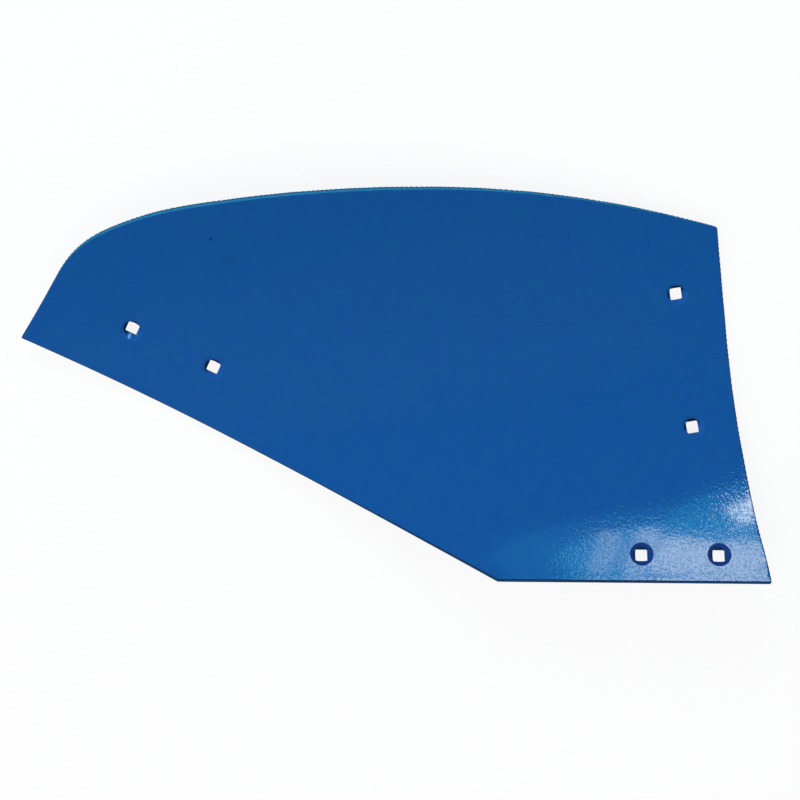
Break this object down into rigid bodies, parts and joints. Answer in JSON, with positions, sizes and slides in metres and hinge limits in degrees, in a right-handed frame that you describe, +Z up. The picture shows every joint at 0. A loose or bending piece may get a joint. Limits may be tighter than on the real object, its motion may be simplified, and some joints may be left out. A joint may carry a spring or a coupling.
{
  "type": "plough mouldboard",
  "caption": "Right-hand plough mouldboard: a hollow-pressed blue painted steel plate with a pointed wing, a curved top edge and countersunk square bolt holes.",
  "frame": {"origin": "centre of the bounding box's underside, on the surface that the plate lies on", "axes": "+Z up out of the hollow working face, +X along the share edge towards the shin, +Y from the share edge towards the top edge"},
  "size_m": [0.8092, 0.4212, 0.0792],
  "materials": {
    "paint_blue": "semi-gloss blue paint over pressed steel"
  },
  "bodies": {
    "root": {"mouldboard": "paint_blue"}
  },
  "joints": []
}
